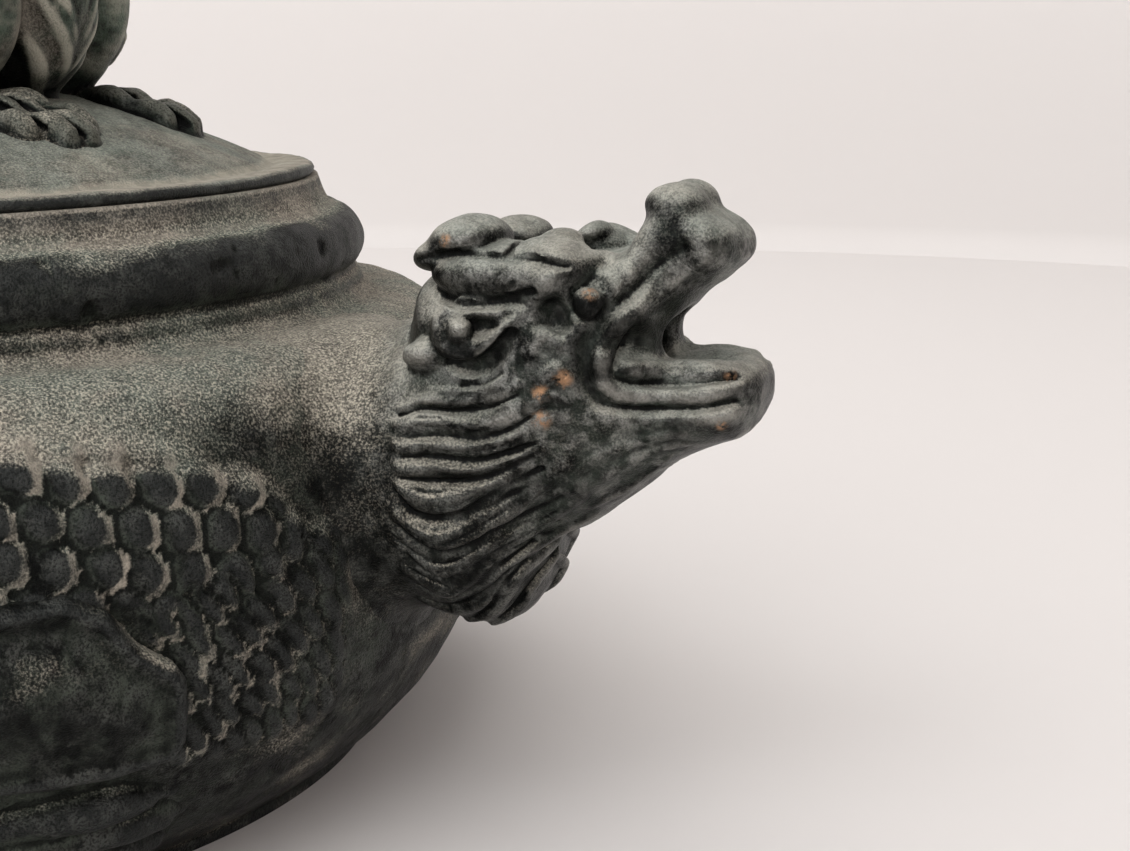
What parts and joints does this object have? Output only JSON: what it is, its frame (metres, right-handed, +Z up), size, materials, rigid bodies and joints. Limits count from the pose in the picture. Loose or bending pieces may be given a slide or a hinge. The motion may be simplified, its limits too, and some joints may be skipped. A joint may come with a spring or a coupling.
{
  "type": "inkwell",
  "caption": "Round cast-bronze inkwell in the form of a dragon, with an open-jawed head at the front and a lift-off domed lid that a crouching beast tops.",
  "frame": {"origin": "centre of the flat base, on the vessel's axis, at the height it rests at", "axes": "+Z up along the vessel's axis, +X towards the dragon's head, +Y to the dragon's left"},
  "size_m": [0.1524, 0.115, 0.098],
  "materials": {
    "bronze_vessel": "dark green-black patina, sandy as cast, dust in the hollows",
    "bronze_head": "dark patina, worn to copper on the high spots",
    "bronze_lid": "dark patina with verdigris and dust",
    "bronze_beast": "dark patina with verdigris",
    "bronze_base": "dull brown patina, turned flat",
    "glaze": "ivory glaze, ink stains inside"
  },
  "bodies": {
    "vessel": {"vessel_body": "bronze_vessel", "base_plate": "bronze_base", "dragon_head": "bronze_head", "foreleg_right": "bronze_vessel", "foreleg_left": "bronze_vessel", "hindleg_right": "bronze_vessel", "hindleg_left": "bronze_vessel", "tail": "bronze_vessel", "ink_cup": "glaze"},
    "lid_assembly": {"lid": "bronze_lid", "lid_spigot": "bronze_lid", "finial_beast": "bronze_beast", "finial_rivet": "bronze_base"}
  },
  "joints": [
    {"name": "lid_lift", "type": "slide", "parent": "vessel", "child": "lid_assembly", "axis": [0, 0, 1], "range_m": [0, 0.07]}
  ]
}
